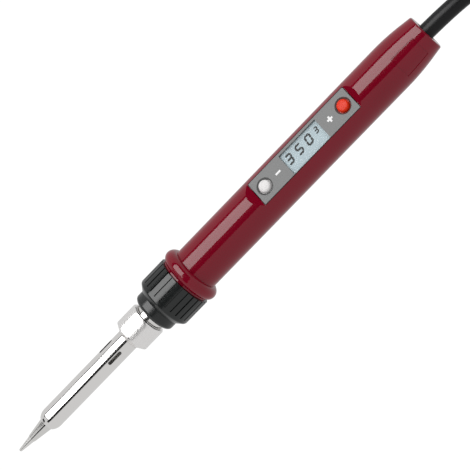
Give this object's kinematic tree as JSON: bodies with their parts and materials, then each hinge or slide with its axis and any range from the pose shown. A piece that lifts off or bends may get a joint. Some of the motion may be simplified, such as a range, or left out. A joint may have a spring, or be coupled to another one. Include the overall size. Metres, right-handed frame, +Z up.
{
  "type": "soldering iron",
  "caption": "Hand-held soldering iron with a conical tip in a vented steel sleeve, knurled and ribbed nuts, a red grip with a display and two buttons, and a mains lead.",
  "frame": {"origin": "on the surface the iron lies on, under the middle of the iron, which is measured without its cord", "axes": "+X along the tool axis from the tip towards the cord, +Z up, out of the control panel"},
  "size_m": [0.545, 0.0476, 0.0375],
  "materials": {
    "tip_plating": "plated, satin",
    "steel": "polished",
    "nickel": "nickel plated",
    "ceramic": "fired white ceramic",
    "black_plastic": "satin heat-resistant plastic",
    "brass": "bare",
    "lead_insulation": "glass-fibre sleeving",
    "red_plastic": "glossy moulded plastic",
    "grey_panel": "satin",
    "display": "clear window over a reflective display",
    "display_glass": "glass",
    "orange_plastic": "gloss",
    "white_plastic": "gloss",
    "board": "solder resist",
    "switch_plastic": "matt",
    "component_plastic": "matt",
    "cord_rubber": "satin",
    "clamp_steel": "zinc plated",
    "wire_insulation": "insulated copper",
    "earth_insulation": "insulated copper",
    "tie_plastic": "matt",
    "plug_rubber": "satin"
  },
  "bodies": {
    "handle": {"handle_shell": "red_plastic", "control_panel": "grey_panel", "display_window": "display", "display_module": "display_glass", "circuit_board": "board", "board_components": "component_plastic", "tact_switches": "switch_plastic", "cord_grommet": "cord_rubber", "cord_clamp": "clamp_steel", "mains_wires": "wire_insulation", "earth_wire": "earth_insulation", "power_cord": "cord_rubber", "cord_hank": "cord_rubber", "cord_tail": "cord_rubber", "cord_tie": "tie_plastic", "plug_body": "plug_rubber", "plug_pins": "nickel", "plug_earth_contacts": "brass"},
    "front_end": {"nipple": "black_plastic", "threaded_bush": "steel", "ceramic_heater": "ceramic", "earth_ring": "brass", "heater_leads": "lead_insulation"},
    "ribbed_nut": {"ribbed_nut": "black_plastic"},
    "tip": {"soldering_tip": "tip_plating"},
    "sleeve": {"sleeve": "steel"},
    "knurled_nut": {"knurled_nut": "nickel"},
    "plus_button": {"plus_button": "orange_plastic"},
    "minus_button": {"minus_button": "white_plastic"}
  },
  "joints": [
    {"name": "front_end_slide", "type": "slide", "parent": "handle", "child": "front_end", "axis": [-1, 0, 0], "range_m": [0, 0.003]},
    {"name": "ribbed_nut_turn", "type": "hinge", "parent": "front_end", "child": "ribbed_nut", "pos_m": [-0.02574, 0, 0.01262], "axis": [-1, 0, 0], "range_deg": [0, 720]},
    {"name": "tip_pull", "type": "slide", "parent": "front_end", "child": "tip", "axis": [-1, 0, 0], "range_m": [0, 0.056]},
    {"name": "sleeve_slide", "type": "slide", "parent": "tip", "child": "sleeve", "axis": [-1, 0, 0], "range_m": [0, 0.00225]},
    {"name": "nut_turn", "type": "hinge", "parent": "sleeve", "child": "knurled_nut", "pos_m": [-0.04573, 0, 0.01262], "axis": [-1, 0, 0], "range_deg": [0, 1080]},
    {"name": "plus_press", "type": "slide", "parent": "handle", "child": "plus_button", "axis": [0, 0, -1], "range_m": [0, 0.0005], "stiffness_N_per_m": 600, "springref_m": -0.0004},
    {"name": "minus_press", "type": "slide", "parent": "handle", "child": "minus_button", "axis": [0, 0, -1], "range_m": [0, 0.0005], "stiffness_N_per_m": 600, "springref_m": -0.0004}
  ],
  "couplings": [
    {"joint": "ribbed_nut_turn", "follows": "front_end_slide", "rad_per_m": 4188.8},
    {"joint": "nut_turn", "follows": "sleeve_slide", "rad_per_m": 8377.6}
  ]
}
